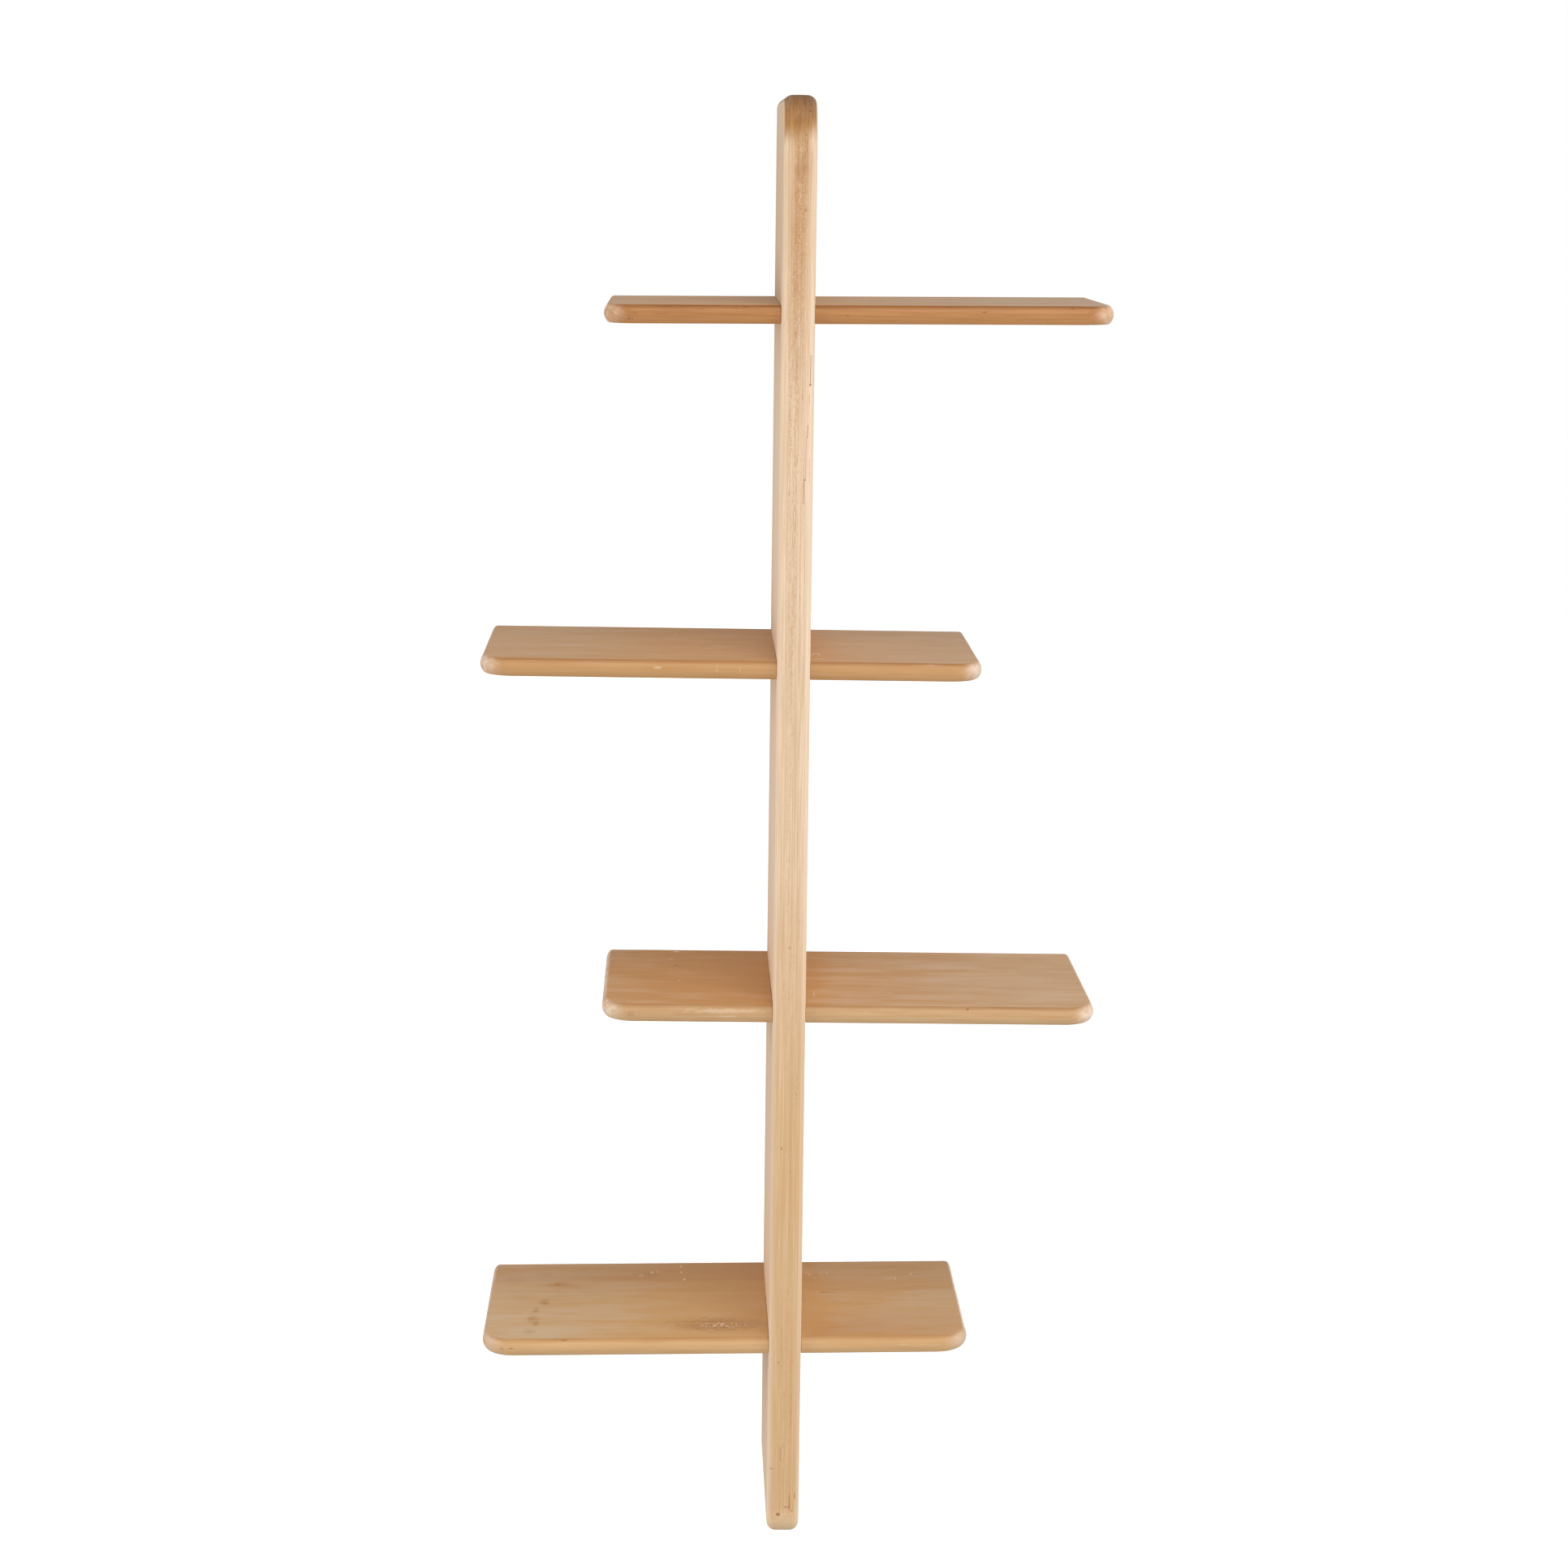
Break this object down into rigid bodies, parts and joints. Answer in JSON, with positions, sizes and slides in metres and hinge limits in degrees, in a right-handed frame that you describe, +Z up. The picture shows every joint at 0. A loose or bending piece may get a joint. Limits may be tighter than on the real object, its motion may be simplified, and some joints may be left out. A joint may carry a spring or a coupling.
{
  "type": "wall shelf",
  "caption": "Wall-hung wooden shelf: a tall edge-on upright carries level boards set alternately to the right and left on cross-lap joints, for books and small things.",
  "frame": {"origin": "middle of the upright's back edge, on the wall plane, half way up", "axes": "+X along the shelves to the right as seen from the room, +Y into the wall, +Z up the upright"},
  "size_m": [0.51, 0.21, 1.2],
  "materials": {
    "upright_wood": "fine-grained light wood, satin",
    "shelf_wood": "fine-grained light wood with an orange-tan cast, satin",
    "plate_metal": "bright zinc",
    "screw_metal": "bright zinc"
  },
  "bodies": {
    "root": {"upright": "upright_wood", "shelf_top": "shelf_wood", "shelf_upper": "shelf_wood", "shelf_lower": "shelf_wood", "shelf_bottom": "shelf_wood", "hanger_plate_top": "plate_metal", "hanger_plate_foot": "plate_metal", "screw_top_upper": "screw_metal", "screw_top_lower": "screw_metal", "screw_foot_upper": "screw_metal", "screw_foot_lower": "screw_metal"}
  },
  "joints": []
}
